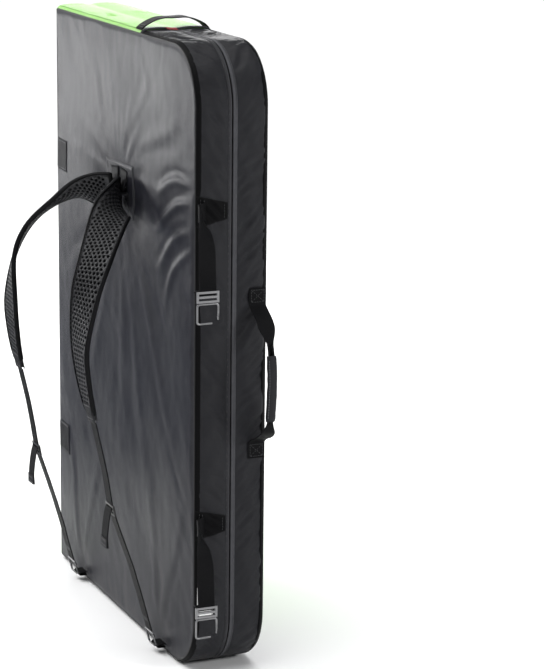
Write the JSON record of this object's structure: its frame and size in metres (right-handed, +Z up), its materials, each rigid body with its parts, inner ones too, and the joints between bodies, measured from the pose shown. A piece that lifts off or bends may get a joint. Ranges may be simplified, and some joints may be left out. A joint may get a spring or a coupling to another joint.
{
  "type": "folding bouldering crash pad",
  "caption": "Folding foam crash pad stood closed on its edge, two halves hinged along the spine, with shoulder harness, carry handle, top loop and hooked closing straps.",
  "frame": {"origin": "on the standing edge, under the middle of the harness half's thickness and the middle of the pad's width", "axes": "+Z up, +X from the spine to the opening side, +Y from the harness face to the front face"},
  "size_m": [0.7461, 0.2633, 1.0186],
  "materials": {
    "grey_nylon": "coated grey nylon with a satin sheen",
    "black_nylon": "fine matt woven nylon",
    "green_nylon": "fine woven nylon, matt",
    "light_piping": "ribbed piping cord",
    "landing_nylon": "heavy woven nylon",
    "soft_foam": "open-cell foam",
    "firm_foam": "closed-cell foam",
    "webbing": "ribbed polyester webbing",
    "strap_mesh": "large-hole spacer mesh over foam",
    "label": "plain woven label",
    "red_tag": "plain woven tag",
    "metal": "polished wire and stamped plate",
    "plastic": "moulded nylon"
  },
  "bodies": {
    "harness_half": {"rear_inner_binding": "black_nylon", "rear_landing_panel": "landing_nylon", "rear_landing_foam": "firm_foam", "rear_core_foam": "soft_foam", "rear_base_foam": "firm_foam", "rear_gusset_black": "black_nylon", "rear_gusset_green": "green_nylon", "rear_piping": "light_piping", "rear_harness_panel": "grey_nylon", "hinge_web": "black_nylon", "spine_patch_upper": "webbing", "spine_patch_lower": "webbing", "side_tab_upper": "webbing", "side_tab_lower": "webbing", "care_label": "label", "harness_root_patch": "webbing", "anchor_loop_left": "webbing", "anchor_loop_right": "webbing"},
    "front_half": {"front_inner_binding": "black_nylon", "front_landing_panel": "landing_nylon", "front_landing_foam": "firm_foam", "front_core_foam": "soft_foam", "front_base_foam": "firm_foam", "front_gusset_black": "black_nylon", "front_gusset_green": "green_nylon", "front_piping": "light_piping", "front_panel_green": "green_nylon", "front_panel_black": "black_nylon", "front_panel_piping": "light_piping", "handle_root_upper": "webbing", "handle_root_lower": "webbing"},
    "flap": {"top_flap": "green_nylon", "top_flap_tag": "red_tag", "top_loop_foot_rear": "webbing", "top_loop_foot_front": "webbing"},
    "carry_loop": {"top_loop": "webbing"},
    "carry_handle": {"handle_webbing": "webbing", "handle_grip": "webbing"},
    "upper_closer": {"closing_strap_upper": "webbing", "closing_adjuster_upper": "metal", "closing_tail_upper": "webbing"},
    "upper_closer_hook": {"closing_hook_upper": "metal"},
    "lower_closer": {"closing_strap_lower": "webbing", "closing_adjuster_lower": "metal", "closing_tail_lower": "webbing"},
    "lower_closer_hook": {"closing_hook_lower": "metal"},
    "left_shoulder_strap": {"strap_pad_left": "strap_mesh", "strap_binding_left": "webbing"},
    "left_lower_strap": {"strap_upper_webbing_left": "webbing", "strap_slider_left": "plastic", "strap_lower_webbing_left": "webbing", "strap_tail_left": "webbing"},
    "left_harness_hook": {"harness_hook_left": "metal"},
    "right_shoulder_strap": {"strap_pad_right": "strap_mesh", "strap_binding_right": "webbing"},
    "right_lower_strap": {"strap_upper_webbing_right": "webbing", "strap_slider_right": "plastic", "strap_lower_webbing_right": "webbing", "strap_tail_right": "webbing"},
    "right_harness_hook": {"harness_hook_right": "metal"}
  },
  "joints": [
    {"name": "fold", "type": "hinge", "parent": "harness_half", "child": "front_half", "pos_m": [-0.3345, 0.03, 0.5], "axis": [0, 0, 1], "range_deg": [0, 180]},
    {"name": "flap_lift", "type": "hinge", "parent": "front_half", "child": "flap", "pos_m": [-0.12, 0.0885, 1.0009], "axis": [-1, 0, 0], "range_deg": [0, 150]},
    {"name": "carry_loop_flop", "type": "hinge", "parent": "flap", "child": "carry_loop", "pos_m": [0.078, 0.03, 1.0116], "axis": [0, 1, 0], "range_deg": [-30, 30], "stiffness_Nm_per_rad": 0.02},
    {"name": "carry_handle_swing", "type": "hinge", "parent": "front_half", "child": "carry_handle", "pos_m": [0.333, 0.072, 0.49], "axis": [0, 0, 1], "range_deg": [-35, 35]},
    {"name": "upper_closer_swing", "type": "hinge", "parent": "harness_half", "child": "upper_closer", "pos_m": [0.3365, -0.028, 0.75], "axis": [0, 0, 1], "range_deg": [-120, 80]},
    {"name": "upper_closer_hook_pivot", "type": "hinge", "parent": "upper_closer", "child": "upper_closer_hook", "pos_m": [0.4095, -0.04, 0.6242], "axis": [0, 1, 0], "range_deg": [-60, 60]},
    {"name": "lower_closer_swing", "type": "hinge", "parent": "harness_half", "child": "lower_closer", "pos_m": [0.3365, -0.028, 0.252], "axis": [0, 0, 1], "range_deg": [-120, 80]},
    {"name": "lower_closer_hook_pivot", "type": "hinge", "parent": "lower_closer", "child": "lower_closer_hook", "pos_m": [0.4095, -0.04, 0.1262], "axis": [0, 1, 0], "range_deg": [-60, 60]},
    {"name": "left_shoulder_lift", "type": "hinge", "parent": "harness_half", "child": "left_shoulder_strap", "pos_m": [-0.014, -0.033, 0.762], "axis": [-1, 0, 0], "range_deg": [0, 80]},
    {"name": "left_lower_strap_swing", "type": "hinge", "parent": "left_shoulder_strap", "child": "left_lower_strap", "pos_m": [-0.19, -0.1465, 0.394], "axis": [-1, 0, 0], "range_deg": [0, 80]},
    {"name": "left_hook_pivot", "type": "hinge", "parent": "left_lower_strap", "child": "left_harness_hook", "pos_m": [-0.196, -0.0545, 0.0375], "axis": [-1, 0, 0], "range_deg": [0, 80]},
    {"name": "right_shoulder_lift", "type": "hinge", "parent": "harness_half", "child": "right_shoulder_strap", "pos_m": [0.014, -0.033, 0.762], "axis": [-1, 0, 0], "range_deg": [0, 80]},
    {"name": "right_lower_strap_swing", "type": "hinge", "parent": "right_shoulder_strap", "child": "right_lower_strap", "pos_m": [0.19, -0.1465, 0.394], "axis": [-1, 0, 0], "range_deg": [0, 80]},
    {"name": "right_hook_pivot", "type": "hinge", "parent": "right_lower_strap", "child": "right_harness_hook", "pos_m": [0.196, -0.0545, 0.0375], "axis": [-1, 0, 0], "range_deg": [0, 80]}
  ]
}
